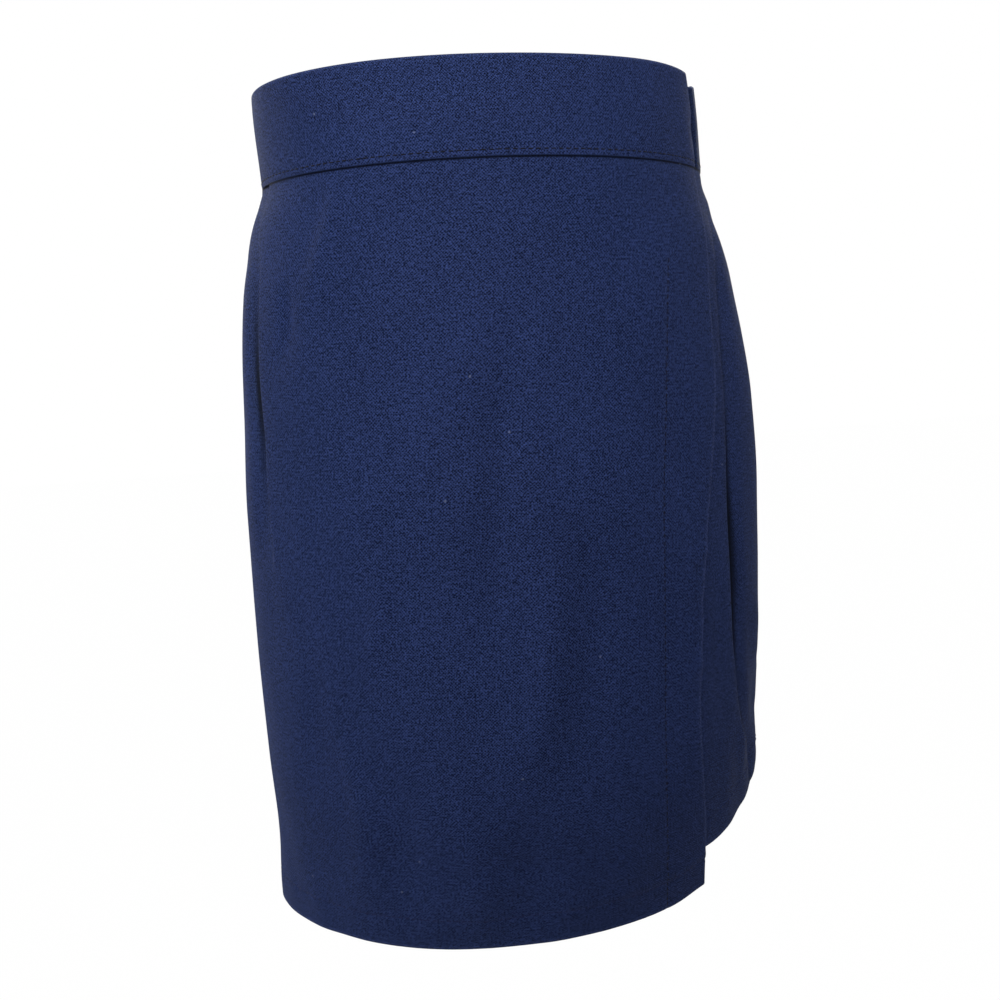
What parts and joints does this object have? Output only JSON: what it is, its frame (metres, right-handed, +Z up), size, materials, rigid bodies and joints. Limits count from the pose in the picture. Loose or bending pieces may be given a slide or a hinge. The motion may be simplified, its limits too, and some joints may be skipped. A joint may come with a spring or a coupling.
{
  "type": "skort",
  "caption": "School skort of navy gabardine: shorts with a flat skirt panel over the front, on a stitched waistband.",
  "frame": {"origin": "centre of the waist opening, in the plane of the waistband's top edge, where the wearer holds the garment up", "axes": "+Z up out of the waist, -Y towards the front, +X towards the wearer's left"},
  "size_m": [0.257, 0.2164, 0.4019],
  "materials": {
    "navy_gabardine": "matt plain-weave polyester and cotton, faint sheen at grazing angles",
    "navy_gabardine_band": "the same cloth, doubled and interfaced, pressed flat",
    "nickel_steel": "nickel-plated, satin"
  },
  "bodies": {
    "root": {"waistband": "navy_gabardine_band", "front_panel": "navy_gabardine", "left_leg_front": "navy_gabardine", "right_leg_front": "navy_gabardine", "left_leg_back": "navy_gabardine", "right_leg_back": "navy_gabardine", "waist_hook": "nickel_steel", "waist_bar": "nickel_steel"}
  },
  "joints": []
}
